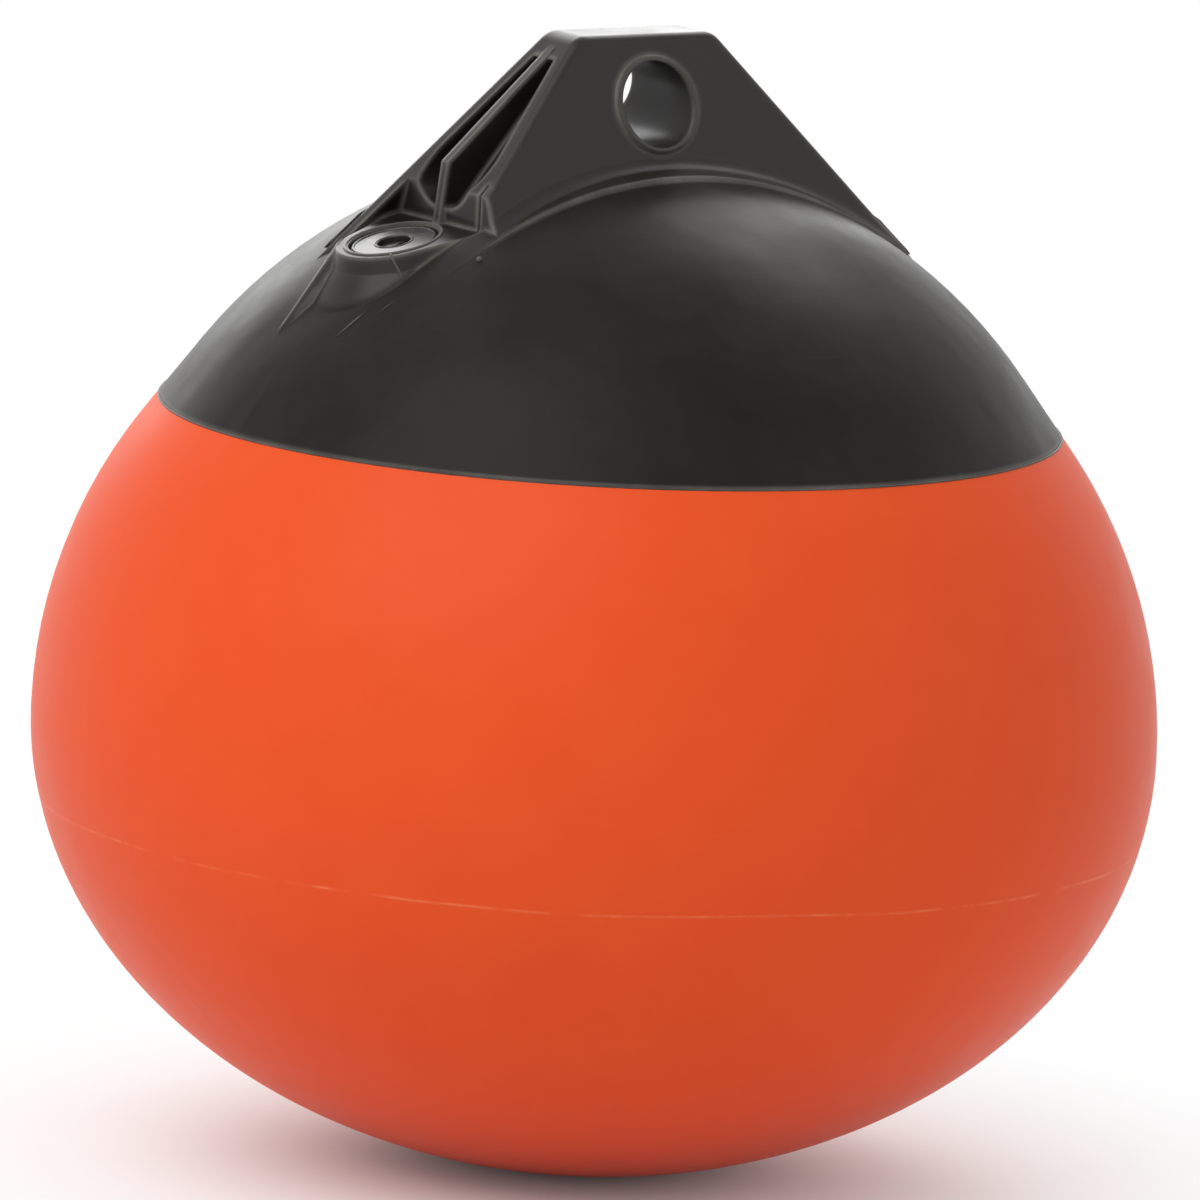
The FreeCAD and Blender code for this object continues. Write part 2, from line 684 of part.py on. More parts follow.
def make_ribs():
    """The fin that stands between the pockets at each end: it leaves the slope, bends down and ends in a foot."""
    body = new_body("ribs")
    sketch = new_sketch(body, "rib_outline", "XZ_Plane")
    top = "Derived.block_top - Sizes.rib_top_drop"
    kink = "Derived.block_top - Sizes.rib_kink_drop"
    foot = "Derived.dome_top - 2 * Sizes.apron_depth"
    for side in ("", "-"):
        corners = [
            (f"{side}({reach_of_end(top)})", top),
            (f"{side}(Derived.valve_reach - Sizes.rib_kink_gap)", kink),
            (f"{side}(Derived.valve_reach - Sizes.rib_foot_gap)", foot),
            (f"{side}(Derived.valve_reach - Sizes.rib_foot_gap - 2 * Sizes.pocket_base_inset)", foot),
            (f"{side}({reach_of_end(top)} - Sizes.rib_width)", top),
        ]
        add_polygon(sketch, corners)
    pad_across(body, "rib_pad", sketch, "Sizes.rib_width")
    return body


def new_shelf_body(name):
    """A body set on the shelf, and its outline: round outboard, widening to the feet of the two flanges."""
    body = new_body(name)
    set_on_shelf(body)
    sketch = new_sketch(body, f"{name}_outline", "XY_Plane")
    radius = size("shelf_radius")
    corner = Vector(size("shelf_run"), size("shelf_spread"), 0)
    touch = math.atan2(corner.y, corner.x) + math.acos(radius / corner.Length)
    whole = Part.Circle(Vector(0, 0, 0), Vector(0, 0, 1), radius)
    arc = sketch.addGeometry(Part.ArcOfCircle(whole, touch, 2 * math.pi - touch), False)
    mirrored = Vector(corner.x, -corner.y, 0)
    upper = sketch.addGeometry(Part.LineSegment(corner, sketch.getPoint(arc, 1)), False)
    lower = sketch.addGeometry(Part.LineSegment(sketch.getPoint(arc, 2), mirrored), False)
    inner = sketch.addGeometry(Part.LineSegment(mirrored, corner), False)
    join(sketch, arc, 3, -1, 1)
    drive(sketch, Sketcher.Constraint("Radius", arc, radius), "Sizes.shelf_radius")
    sketch.addConstraint(Sketcher.Constraint("Tangent", upper, 2, arc, 1))
    sketch.addConstraint(Sketcher.Constraint("Tangent", arc, 2, lower, 1))
    join(sketch, lower, 2, inner, 1)
    join(sketch, inner, 2, upper, 1)
    place_point(sketch, inner, 1, "Sizes.shelf_run", "-Sizes.shelf_spread")
    place_point(sketch, inner, 2, "Sizes.shelf_run", "Sizes.shelf_spread")
    return body, sketch


def make_shelf(name, draft, sink=None):
    """The solid under the shelf, with drafted sides. A second one, sunk and wider, spreads its foot on the dome."""
    body, sketch = new_shelf_body(name)
    if sink:
        sketch.setExpression("AttachmentOffset.Base.z", f"-{sink}")
    pad = feature(body, "Pad", f"{name}_pad", sketch)
    pad.Reversed = True
    pad.setExpression("Length", "Sizes.shelf_depth")
    pad.setExpression("TaperAngle", draft)
    return body


def make_shelf_room():
    """The room above the shelf, which is cut back into the dome where the dome rises over it."""
    body, sketch = new_shelf_body("shelf_room")
    pad = feature(body, "Pad", "room_pad", sketch)
    pad.setExpression("Length", "Sizes.shelf_headroom")
    pad.setExpression("TaperAngle", "Sizes.shelf_draft")
    return body


def turned_on_shelf(name, corners):
    """A piece of the valve, turned about the valve's own axis from a closed half section."""
    body = new_body(name)
    set_on_shelf(body)
    sketch = new_sketch(body, f"{name}_section", "XZ_Plane")
    add_polygon(sketch, corners)
    turn_about(body, f"{name}_turned", sketch, "V_Axis")
    return body


# Levels and radii of the valve, measured down its own axis from the shelf

DISC_TOP = "-Sizes.disc_sink"
DISC_BASE = f"{DISC_TOP} - Sizes.disc_thickness"
SLEEVE_END = f"{DISC_TOP} - Sizes.sleeve_length"
HEAD_TOP = f"{DISC_TOP} - Sizes.head_sink"
HEAD_BASE = f"{HEAD_TOP} - Sizes.head_height"
SEAL_BASE = f"{HEAD_BASE} - Sizes.seal_thickness"
SHANK_END = f"{HEAD_BASE} - Sizes.shank_length"
HEAD_BORE = "Sizes.head_radius + Sizes.head_gap"
SHANK_BORE = "Sizes.shank_radius + Sizes.thread_gap"


def make_valve_hole():
    """The stepped hole for the valve seat: a recess for the disc and a bore for the sleeve."""
    recess = "Sizes.disc_radius + Sizes.disc_gap"
    corners = [
        ("0", "Sizes.disc_thickness"),
        ("0", SLEEVE_END),
        ("Sizes.sleeve_radius", SLEEVE_END),
        ("Sizes.sleeve_radius", DISC_BASE),
        (recess, DISC_BASE),
        (recess, "Sizes.disc_thickness"),
    ]
    return turned_on_shelf("valve_hole", corners)


def make_valve_seat():
    """A disc with a bored sleeve: the wide end of the bore takes the plug's head and its washer."""
    corners = [
        (HEAD_BORE, DISC_TOP),
        (HEAD_BORE, SEAL_BASE),
        (SHANK_BORE, SEAL_BASE),
        (SHANK_BORE, SLEEVE_END),
        ("Sizes.sleeve_radius", SLEEVE_END),
        ("Sizes.sleeve_radius", DISC_BASE),
        ("Sizes.disc_radius", DISC_BASE),
        ("Sizes.disc_radius", DISC_TOP),
    ]
    return turned_on_shelf("valve_seat", corners)


def make_valve_plug():
    """The screw that closes the valve, with a coin slot across its head."""
    corners = [
        ("0", HEAD_TOP),
        ("0", SHANK_END),
        ("Sizes.shank_radius", SHANK_END),
        ("Sizes.shank_radius", HEAD_BASE),
        ("Sizes.head_radius", HEAD_BASE),
        ("Sizes.head_radius", HEAD_TOP),
    ]
    body = turned_on_shelf("valve_plug", corners)
    sketch = new_sketch(body, "slot_outline", "XY_Plane", HEAD_TOP)
    corners = [
        ("-2 * Sizes.head_radius", "-Sizes.slot_width / 2"),
        ("2 * Sizes.head_radius", "-Sizes.slot_width / 2"),
        ("2 * Sizes.head_radius", "Sizes.slot_width / 2"),
        ("-2 * Sizes.head_radius", "Sizes.slot_width / 2"),
    ]
    add_polygon(sketch, corners)
    slot = feature(body, "Pocket", "slot", sketch)
    slot.setExpression("Length", "Sizes.slot_depth")
    return body


def make_valve_seal():
    """The soft washer under the plug's head."""
    corners = [
        (SHANK_BORE, HEAD_BASE),
        (SHANK_BORE, SEAL_BASE),
        ("Sizes.head_radius", SEAL_BASE),
        ("Sizes.head_radius", HEAD_BASE),
    ]
    return turned_on_shelf("valve_seal", corners)


# Assembly

float_blank = make_float_blank()
side_view = make_side_view("side_view")
full_side_view = make_side_view("full_side_view", drop=False)
cove = make_cove()
back_trim = make_trim("back_trim", cove, full_side_view)
front_trim = mirror("front_trim", make_trim("front_trim_source", cove, side_view))
shelf = make_shelf("shelf", "Sizes.shelf_draft")
skirt = make_shelf("skirt", "Sizes.skirt_draft", "Sizes.skirt_sink")
shelved = fuse("shelved_dome", [make_dome(), make_apron(), shelf, skirt, make_web()])
levelled = combine("Cut", "levelled_dome", shelved, make_shelf_room())
slitted = combine("Cut", "slitted_block", make_block(side_view), make_slit())
back_flange = make_back_flange(full_side_view)
crown_blank = fuse("crown_blank", [levelled, slitted, back_flange, back_trim, front_trim])
pocketed = combine("Cut", "pocketed_crown", crown_blank, make_pockets())
ribbed = fuse("ribbed_crown", [pocketed, make_ribs()])
bored = combine("Cut", "bored_crown", ribbed, make_eye_bore())
hollowed = combine("Cut", "hollowed_crown", bored, float_blank)
valve_hole = make_valve_hole()
crown = combine("Cut", "crown", hollowed, valve_hole)
float_body = combine("Cut", "float", float_blank, valve_hole)

nodes = {
    "float_body": float_body,
    "ropehold_crown": crown,
    "valve_seat": make_valve_seat(),
    "valve_plug": make_valve_plug(),
    "valve_seal": make_valve_seal(),
}

doc.recompute()
for item in doc.Objects:
    if "Invalid" in item.State or "Error" in item.State:
        raise RuntimeError(f"{item.Name} did not build")
for label, node in nodes.items():
    node.Label = label
    if node.Shape.isNull() or not node.Shape.isValid():
        raise RuntimeError(f"{label} has no valid shape")

os.makedirs("parts", exist_ok=True)
for label, node in nodes.items():
    node.Shape.exportStep(f"parts/{label}.step")
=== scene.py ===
# %% [markdown]
# # Dressing an inflatable mooring buoy
#
# The buoy comes from CAD as five closed solids: an orange float, a black crown that is moulded over its
# shoulder, and the three small pieces of the inflation valve. All of them already have their true shape.
# What they lack is everything that makes soft vinyl look like vinyl: the sheen, the fine skin, the scuffs,
# and the thin lines and pips that a mould leaves behind. This lesson adds those, one cell at a time.

import math

import bmesh
import bpy
from mathutils import Matrix, Vector
from mathutils.bvhtree import BVHTree


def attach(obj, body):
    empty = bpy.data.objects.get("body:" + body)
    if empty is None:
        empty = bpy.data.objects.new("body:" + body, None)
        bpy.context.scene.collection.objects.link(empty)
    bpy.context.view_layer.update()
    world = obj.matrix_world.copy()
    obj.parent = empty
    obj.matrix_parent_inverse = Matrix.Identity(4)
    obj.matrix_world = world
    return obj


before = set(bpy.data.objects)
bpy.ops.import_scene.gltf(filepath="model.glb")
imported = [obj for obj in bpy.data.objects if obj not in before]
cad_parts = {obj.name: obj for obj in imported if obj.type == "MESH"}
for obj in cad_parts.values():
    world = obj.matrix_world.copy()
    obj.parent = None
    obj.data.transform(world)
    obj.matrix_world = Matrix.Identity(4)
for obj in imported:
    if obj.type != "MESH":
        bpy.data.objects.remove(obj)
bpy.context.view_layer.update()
print("CAD nodes:", sorted(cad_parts))

# %% [markdown]
# ## The camera
#
# The buoy shows almost no perspective, so the picture is taken as if from five metres away with a long
# lens. The eye looks down by about ten degrees and stands to the left of the rope eye's axis. We place the
# camera by a turn, a height angle and a distance, because those three numbers can be read off the picture
# one after the other, while a bare position could not.

# %% Camera
CAMERA_TURN = math.radians(35.7)
CAMERA_RISE = math.radians(9.6)
CAMERA_ROLL = math.radians(3.0)
CAMERA_DISTANCE = 5.0
AIM_ACROSS = -0.0002
AIM_UP = 0.1873
PICTURE_SPAN = 0.4015

towards_camera = Vector(
    (
        -math.sin(CAMERA_TURN) * math.cos(CAMERA_RISE),
        -math.cos(CAMERA_TURN) * math.cos(CAMERA_RISE),
        math.sin(CAMERA_RISE),
    )
)
picture_right = Vector((math.cos(CAMERA_TURN), -math.sin(CAMERA_TURN), 0))
picture_up = towards_camera.cross(picture_right)
aim = picture_right * AIM_ACROSS + picture_up * AIM_UP

camera_data = bpy.data.cameras.new("camera")
camera = bpy.data.objects.new("camera", camera_data)
bpy.context.collection.objects.link(camera)
camera_data.lens = camera_data.sensor_width * CAMERA_DISTANCE / PICTURE_SPAN
camera_data.clip_end = 100
level = Matrix((picture_right, picture_up, towards_camera)).transposed()
rolled = level @ Matrix.Rotation(CAMERA_ROLL, 3, "Z")
camera.matrix_world = Matrix.Translation(aim + towards_camera * CAMERA_DISTANCE) @ rolled.to_4x4()
bpy.context.scene.camera = camera
print("lens", round(camera_data.lens), "mm")

# %% [markdown]
# ## Helpers for node materials
#
# Every finish below is a small graph of shader nodes. A few helpers keep the graphs readable: one adds a
# node and fills in its plain values, one links two sockets by name, and the others make the little
# arrangements that turn up again and again.

# %% Node helpers
def add_node(tree, kind, values=None, **settings):
    """Add a node, set its properties, and fill its input sockets by name or number."""
    node = tree.nodes.new(kind)
    for key, value in settings.items():
        setattr(node, key, value)
    for key, value in (values or {}).items():
        node.inputs[key].default_value = value
    return node


def link(tree, source, output, target, socket):
    tree.links.new(source.outputs[output], target.inputs[socket])


def new_material(name):
    """A material with only its output and one Principled shader."""
    material = bpy.data.materials.new(name)
    material.use_nodes = True
    tree = material.node_tree
    shader = tree.nodes["Principled BSDF"]
    return material, tree, shader


def add_range(tree, source, output, low, high, at_low=0.0, at_high=1.0):
    """Turn the span from low to high into at_low to at_high. What lies outside the span is clamped."""
    spans = {"From Min": low, "From Max": high, "To Min": at_low, "To Max": at_high}
    node = add_node(tree, "ShaderNodeMapRange", spans, clamp=True)
    link(tree, source, output, node, "Value")
    return node


def add_product(tree, first, first_output, second, second_output):
    """Multiply two masks."""
    node = add_node(tree, "ShaderNodeMath", operation="MULTIPLY")
    link(tree, first, first_output, node, 0)
    link(tree, second, second_output, node, 1)
    return node


def add_tone(tree, source, output, start, start_color, end, end_color):
    """Turn a mask into a colour that runs from one tone at start to another at end."""
    node = add_node(tree, "ShaderNodeValToRGB")
    stops = ((start, start_color), (end, end_color))
    for element, (position, color) in zip(node.color_ramp.elements, stops):
        element.position = position
        element.color = (*color, 1)
    link(tree, source, output, node, "Fac")
    return node


def add_blend(tree, mask, mask_output, base, base_output, color):
    """Lay a plain colour over what is there, as strongly as the mask says."""
    node = add_node(tree, "ShaderNodeMix", data_type="RGBA")
    node.inputs["B"].default_value = (*color, 1)
    link(tree, mask, mask_output, node, "Factor")
    link(tree, base, base_output, node, "A")
    return node


# %% [markdown]
# ## Floor
#
# A studio sweep is a white sheet that curves up behind the product. The same look comes from a flat pale
# floor that turns into plain white away from the object. A real light tent would do it with more lamps, but
# then they would light the buoy too. So the floor glows only for the rays that the camera sees, directly,
# in a reflection or through glass, and near the buoy it stays a plain sheet that takes its shadow.

# %% Floor
FLOOR_SIZE = 30
FLOOR_GREY = 0.86
FADE_END = 0.3


def add_view_test(tree):
    """A node that is 1 for what the camera sees, directly, mirrored or through glass, and 0 otherwise."""
    ray = add_node(tree, "ShaderNodeLightPath")
    seen_or_mirrored = add_node(tree, "ShaderNodeMath", operation="MAXIMUM")
    link(tree, ray, "Is Camera Ray", seen_or_mirrored, 0)
    link(tree, ray, "Is Glossy Ray", seen_or_mirrored, 1)
    seen_at_all = add_node(tree, "ShaderNodeMath", operation="MAXIMUM")
    link(tree, seen_or_mirrored, "Value", seen_at_all, 0)
    link(tree, ray, "Is Transmission Ray", seen_at_all, 1)
    return seen_at_all


floor_mesh = bpy.data.meshes.new("floor")
floor_shape = bmesh.new()
bmesh.ops.create_grid(floor_shape, x_segments=1, y_segments=1, size=FLOOR_SIZE)
floor_shape.to_mesh(floor_mesh)
floor_shape.free()
floor = bpy.data.objects.new("floor", floor_mesh)
bpy.context.collection.objects.link(floor)

floor_material, tree, shader = new_material("pale_floor")
shader.inputs["Base Color"].default_value = (FLOOR_GREY, FLOOR_GREY, FLOOR_GREY, 1)
shader.inputs["Roughness"].default_value = 0.9
shader.inputs["Specular IOR Level"].default_value = 0.1
place = add_node(tree, "ShaderNodeTexCoord")
distance = add_node(tree, "ShaderNodeVectorMath", operation="LENGTH")
link(tree, place, "Object", distance, 0)
fade = add_range(tree, distance, "Value", 0.0, FADE_END)
fade.interpolation_type = "SMOOTHSTEP"
faded = add_product(tree, fade, "Result", add_view_test(tree), "Value")
white = add_node(tree, "ShaderNodeEmission", {"Color": (1, 1, 1, 1), "Strength": 1.0})
floor_mix = add_node(tree, "ShaderNodeMixShader")
link(tree, faded, "Value", floor_mix, "Fac")
link(tree, shader, "BSDF", floor_mix, 1)
link(tree, white, "Emission", floor_mix, 2)
link(tree, floor_mix, "Shader", tree.nodes["Material Output"], "Surface")
floor_mesh.materials.append(floor_material)
print("floor turns white", FADE_END, "m from the middle")

# %% [markdown]
# ## World
#
# The camera sees a white room, but a room that bright would wash out the black vinyl. So the world is two
# backgrounds: a plain white one for what is seen, and a dimmer one for the light that falls on the buoy.

# %% World
WORLD_LIGHT = 0.43

world = bpy.data.worlds.new("studio")
world.use_nodes = True
bpy.context.scene.world = world
tree = world.node_tree
tree.nodes.clear()
room = add_node(tree, "ShaderNodeBackground", {"Color": (1, 1, 1, 1), "Strength": WORLD_LIGHT})
backdrop = add_node(tree, "ShaderNodeBackground", {"Color": (1, 1, 1, 1), "Strength": 1.0})
choice = add_node(tree, "ShaderNodeMixShader")
output = add_node(tree, "ShaderNodeOutputWorld")
link(tree, add_view_test(tree), "Value", choice, "Fac")
link(tree, room, "Background", choice, 1)
link(tree, backdrop, "Background", choice, 2)
link(tree, choice, "Shader", output, "Surface")
bpy.context.scene.view_settings.view_transform = "Standard"
print("world lights the buoy at", WORLD_LIGHT)

# %% [markdown]
# ## Lamps
#
# Four soft boxes do the modelling: a large one above and to the left, a weak one low on the right, and two
# behind the buoy. The black crown shows those two best: the low one lies on every face that looks up, and
# the high one runs along the hollow corner at the foot of the block. Soft boxes are used because a bare
# lamp would leave hard spots on the glossy float.

# %% Lamps
BUOY_MIDDLE = Vector((0, 0, 0.2))


def add_lamp(name, turn, rise, distance, size, power):
    """A square soft box that faces the buoy. Turn runs from the camera to the right of the picture."""
    data = bpy.data.lights.new(name, "AREA")
    data.shape = "SQUARE"
    data.size = size
    data.energy = power
    lamp = bpy.data.objects.new(name, data)
    bpy.context.collection.objects.link(lamp)
    angle = math.radians(turn) - CAMERA_TURN
    height = math.radians(rise)
    direction = Vector(
        (math.sin(angle) * math.cos(height), -math.cos(angle) * math.cos(height), math.sin(height))
    )
    lamp.location = BUOY_MIDDLE + direction * distance
    lamp.rotation_euler = direction.to_track_quat("Z", "Y").to_euler()
    print(name, power, "W at", [round(v, 2) for v in lamp.location])


add_lamp("key_lamp", turn=-42, rise=48, distance=2.6, size=2.4, power=46)
add_lamp("fill_lamp", turn=75, rise=15, distance=2.6, size=1.8, power=5)
add_lamp("back_lamp", turn=188, rise=28, distance=2.2, size=1.7, power=24)
add_lamp("crest_lamp", turn=150, rise=50, distance=2.2, size=0.8, power=6)

# %% [markdown]
# ## Moulded skin
#
# Soft vinyl leaves its mould with a very fine skin, a little like orange peel, and every sharp corner of
# the mould comes out slightly round. Both effects go on every moulded piece, so they are built once as a
# node group. For the corners it uses the Bevel node, which turns the normal near an edge as if the edge
# were rounded: the mesh stays the exact solid from CAD, and the light still runs softly over its corners.
# Two masks come with it, a fine mottle and a few stretched scuffs, and each finish uses them in its own
# way.

# %% Group for moulded skin
BEVEL_SAMPLES = 6


def make_skin_group():
    """Fine moulded skin: an uneven height, a normal with soft corners, and two masks of uneven wear."""
    group = bpy.data.node_groups.new("moulded_skin", "ShaderNodeTree")
    sockets = group.interface
    for name, value in (
        ("Corner Radius", 0.001),
        ("Skin Size", 900.0),
        ("Skin Depth", 0.00004),
        ("Swell Size", 14.0),
        ("Swell Depth", 0.0004),
    ):
        sockets.new_socket(name, in_out="INPUT", socket_type="NodeSocketFloat").default_value = value
    sockets.new_socket("Normal", in_out="OUTPUT", socket_type="NodeSocketVector")
    sockets.new_socket("Mottle", in_out="OUTPUT", socket_type="NodeSocketFloat")
    sockets.new_socket("Scuffs", in_out="OUTPUT", socket_type="NodeSocketFloat")
    enter = add_node(group, "NodeGroupInput")
    leave = add_node(group, "NodeGroupOutput")
    place = add_node(group, "ShaderNodeTexCoord")

    swell = add_node(group, "ShaderNodeTexNoise", {"Detail": 2.0, "Roughness": 0.45})
    link(group, place, "Object", swell, "Vector")
    link(group, enter, "Swell Size", swell, "Scale")
    skin = add_node(group, "ShaderNodeTexNoise", {"Detail": 3.0, "Roughness": 0.6})
    link(group, place, "Object", skin, "Vector")
    link(group, enter, "Skin Size", skin, "Scale")
    swell_height = add_product(group, swell, "Fac", enter, "Swell Depth")
    height = add_node(group, "ShaderNodeMath", operation="MULTIPLY_ADD")
    link(group, skin, "Fac", height, 0)
    link(group, enter, "Skin Depth", height, 1)
    link(group, swell_height, "Value", height, 2)

    corners = add_node(group, "ShaderNodeBevel", samples=BEVEL_SAMPLES)
    link(group, enter, "Corner Radius", corners, "Radius")
    bump = add_node(group, "ShaderNodeBump", {"Strength": 1.0, "Distance": 1.0})
    link(group, height, "Value", bump, "Height")
    link(group, corners, "Normal", bump, "Normal")
    link(group, bump, "Normal", leave, "Normal")

    mottle = add_node(group, "ShaderNodeTexNoise", {"Scale": 38.0, "Detail": 5.0, "Roughness": 0.62})
    link(group, place, "Object", mottle, "Vector")
    link(group, mottle, "Fac", leave, "Mottle")

    stretch = add_node(
        group, "ShaderNodeMapping", {"Scale": (28.0, 28.0, 420.0), "Rotation": (0.3, 0.5, 0.0)}
    )
    link(group, place, "Object", stretch, "Vector")
    streaks = add_node(group, "ShaderNodeTexNoise", {"Scale": 1.0, "Detail": 4.0, "Roughness": 0.7})
    link(group, stretch, "Vector", streaks, "Vector")
    worn = add_range(group, streaks, "Fac", 0.66, 0.78)
    link(group, worn, "Result", leave, "Scuffs")
    return group


skin_group = make_skin_group()
print(skin_group.name, len(skin_group.nodes), "nodes")

# %% [markdown]
# The group is placed in a material by one helper. Its values are lengths in metres, apart from the two
# sizes, which are the scales of the noise: the larger the number, the finer the pattern.

# %% Place the skin in a material
def add_skin(tree, shader, corner, skin_size, skin_depth, swell_size, swell_depth):
    """Place the skin group in a material, with this material's own values, and use its normal."""
    skin = add_node(tree, "ShaderNodeGroup", node_tree=skin_group)
    skin.inputs["Corner Radius"].default_value = corner
    skin.inputs["Skin Size"].default_value = skin_size
    skin.inputs["Skin Depth"].default_value = skin_depth
    skin.inputs["Swell Size"].default_value = swell_size
    skin.inputs["Swell Depth"].default_value = swell_depth
    link(tree, skin, "Normal", shader, "Normal")
    return skin


def dress(node_name, material):
    """Give a CAD node its finish."""
    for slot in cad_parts[node_name].material_slots:
        slot.material = material
    print(node_name, "wears", material.name)


# %% [markdown]
# ## Parting line on the float
#
# Near the bottom the real float carries a faint line where the two halves of its mould met, broken here and
# there. It could be a thin ridge in the mesh, but it is far too shallow for that. A mask is enough: it is 1
# in a narrow band around one height, a slow noise lets the height wander, and a faster one breaks the band
# up.

# %% Mask for the parting line
PARTING_HEIGHT = 0.121
PARTING_WANDER = 0.004
PARTING_CORE = 0.0001
PARTING_EDGE = 0.0007


def add_parting_line(tree):
    """A mask that is 1 on the float's parting line and 0 beside it."""
    place = add_node(tree, "ShaderNodeTexCoord")
    split = add_node(tree, "ShaderNodeSeparateXYZ")
    link(tree, place, "Object", split, "Vector")
    wander = add_node(tree, "ShaderNodeTexNoise", {"Scale": 11.0, "Detail": 2.0})
    link(tree, place, "Object", wander, "Vector")
    height = add_node(tree, "ShaderNodeMath", {1: PARTING_WANDER}, operation="MULTIPLY_ADD")
    link(tree, wander, "Fac", height, 0)
    link(tree, split, "Z", height, 2)
    above_line = add_node(tree, "ShaderNodeMath", {1: PARTING_HEIGHT}, operation="SUBTRACT")
    link(tree, height, "Value", above_line, 0)
    off_line = add_node(tree, "ShaderNodeMath", operation="ABSOLUTE")
    link(tree, above_line, "Value", off_line, 0)
    line = add_range(tree, off_line, "Value", PARTING_CORE, PARTING_EDGE, at_low=1.0, at_high=0.0)
    gaps = add_node(tree, "ShaderNodeTexNoise", {"Scale": 46.0, "Detail": 4.0, "Roughness": 0.7})
    link(tree, place, "Object", gaps, "Vector")
    kept = add_range(tree, gaps, "Fac", 0.42, 0.6)
    return add_product(tree, line, "Result", kept, "Result")


# %% [markdown]
# ## Orange float
#
# The float is one skin of pigmented soft vinyl, blown full of air. It is glossy but not a mirror: the
# highlights are wide and have soft edges. A Principled shader with a middling roughness and a low specular
# level gives that. The mottle shifts the orange by a hair and spreads the roughness, the scuffs add a
# little more of it, and the parting line is paler and raises the surface in the bump.

# %% Float finish
VINYL_IOR = 1.45
FLOAT_SPECULAR = 0.12
FLOAT_ORANGE = (0.81, 0.085, 0.018)
FLOAT_LIGHTER_ORANGE = (0.83, 0.094, 0.021)
FLOAT_ROUGHNESS = (0.36, 0.44)
LINE_ORANGE = (0.93, 0.24, 0.10)
LINE_STRENGTH = 0.55
LINE_DEPTH = 0.00015
SCUFF_ROUGHNESS = 0.08


def make_float_finish():
    material, tree, shader = new_material("orange_vinyl")
    shader.inputs["IOR"].default_value = VINYL_IOR
    shader.inputs["Specular IOR Level"].default_value = FLOAT_SPECULAR
    skin = add_skin(
        tree,
        shader,
        corner=0.0008,
        skin_size=700.0,
        skin_depth=0.000012,
        swell_size=9.0,
        swell_depth=0.0004,
    )
    line = add_parting_line(tree)

    tone = add_tone(tree, skin, "Mottle", 0.3, FLOAT_ORANGE, 0.72, FLOAT_LIGHTER_ORANGE)
    faint_line = add_node(tree, "ShaderNodeMath", {1: LINE_STRENGTH}, operation="MULTIPLY")
    link(tree, line, "Value", faint_line, 0)
    lined = add_blend(tree, faint_line, "Value", tone, "Color", LINE_ORANGE)
    link(tree, lined, "Result", shader, "Base Color")

    gloss = add_range(tree, skin, "Mottle", 0.3, 0.7, *FLOAT_ROUGHNESS)
    rough = add_node(tree, "ShaderNodeMath", {1: SCUFF_ROUGHNESS}, operation="MULTIPLY_ADD")
    link(tree, skin, "Scuffs", rough, 0)
    link(tree, gloss, "Result", rough, 2)
    link(tree, rough, "Value", shader, "Roughness")

    ridge = add_node(tree, "ShaderNodeBump", {"Strength": 0.6, "Distance": LINE_DEPTH})
    link(tree, line, "Value", ridge, "Height")
    link(tree, skin, "Normal", ridge, "Normal")
    link(tree, ridge, "Normal", shader, "Normal")
    return material


dress("float_body", make_float_finish())

# %% [markdown]
# ## Painted corner highlights and polished parts of the crown
#
# The corners of the crown get a lighter grey in their colour, a painted highlight for the sheen on rounded
# edges, and the block, the pad and the cove come from the polished part of the mould. Both could be painted
# by hand on a UV map, but a mask that reads the shape itself needs no map and follows every later change. A
# corner is where the Bevel node turns the normal. A polished part is whatever stands proud of the dome's
# sphere, apart from the thin rim over the float.

# %% Masks for the crown
DOME_MIDDLE = 0.16852
DOME_RADIUS = 0.17048
PROUD_FROM = 0.0002
PROUD_TO = 0.0012
RIM_TOP = 0.272
RIM_FADE = 0.282
# How far from a corner the painted highlight reaches.
CORNER_HIGHLIGHT_RADIUS = 0.0035


def add_corner_mask(tree):
    """A mask that rises to 1 on the corners, where the rounded normal leaves the true one."""
    surface = add_node(tree, "ShaderNodeNewGeometry")
    rounded = add_node(tree, "ShaderNodeBevel", {"Radius": CORNER_HIGHLIGHT_RADIUS}, samples=BEVEL_SAMPLES)
    likeness = add_node(tree, "ShaderNodeVectorMath", operation="DOT_PRODUCT")
    link(tree, surface, "Normal", likeness, 0)
    link(tree, rounded, "Normal", likeness, 1)
    return add_range(tree, likeness, "Value", 0.99, 0.88)


def add_polish_mask(tree):
    """A mask of all that stands proud of the dome and above its rim."""
    place = add_node(tree, "ShaderNodeTexCoord")
    from_middle = add_node(tree, "ShaderNodeVectorMath", {1: (0, 0, DOME_MIDDLE)}, operation="DISTANCE")
    link(tree, place, "Object", from_middle, 0)
    proud = add_range(tree, from_middle, "Value", DOME_RADIUS + PROUD_FROM, DOME_RADIUS + PROUD_TO)
    split = add_node(tree, "ShaderNodeSeparateXYZ")
    link(tree, place, "Object", split, "Vector")
    above_rim = add_range(tree, split, "Z", RIM_TOP, RIM_FADE)
    return add_product(tree, proud, "Result", above_rim, "Result")


# %% [markdown]
# ## Black crown
#
# The crown is poured in a thicker, harder vinyl. It is black with a soft sheen, and its skin is coarser
# than the float's: swirls from the pour show on the walls of the block. The corners are painted a lighter
# grey as a painted highlight, a few scuffs lie over everything, and the polished parts reflect more. All of
# it is one material, so nothing shows where a polished part meets the dome.

# %% Crown finish
CROWN_BLACK = (0.0115, 0.0095, 0.0075)
CROWN_LIGHTER_BLACK = (0.0175, 0.0145, 0.0115)
CROWN_ROUGHNESS = (0.3, 0.38)
CROWN_SPECULAR = (0.11, 0.31)
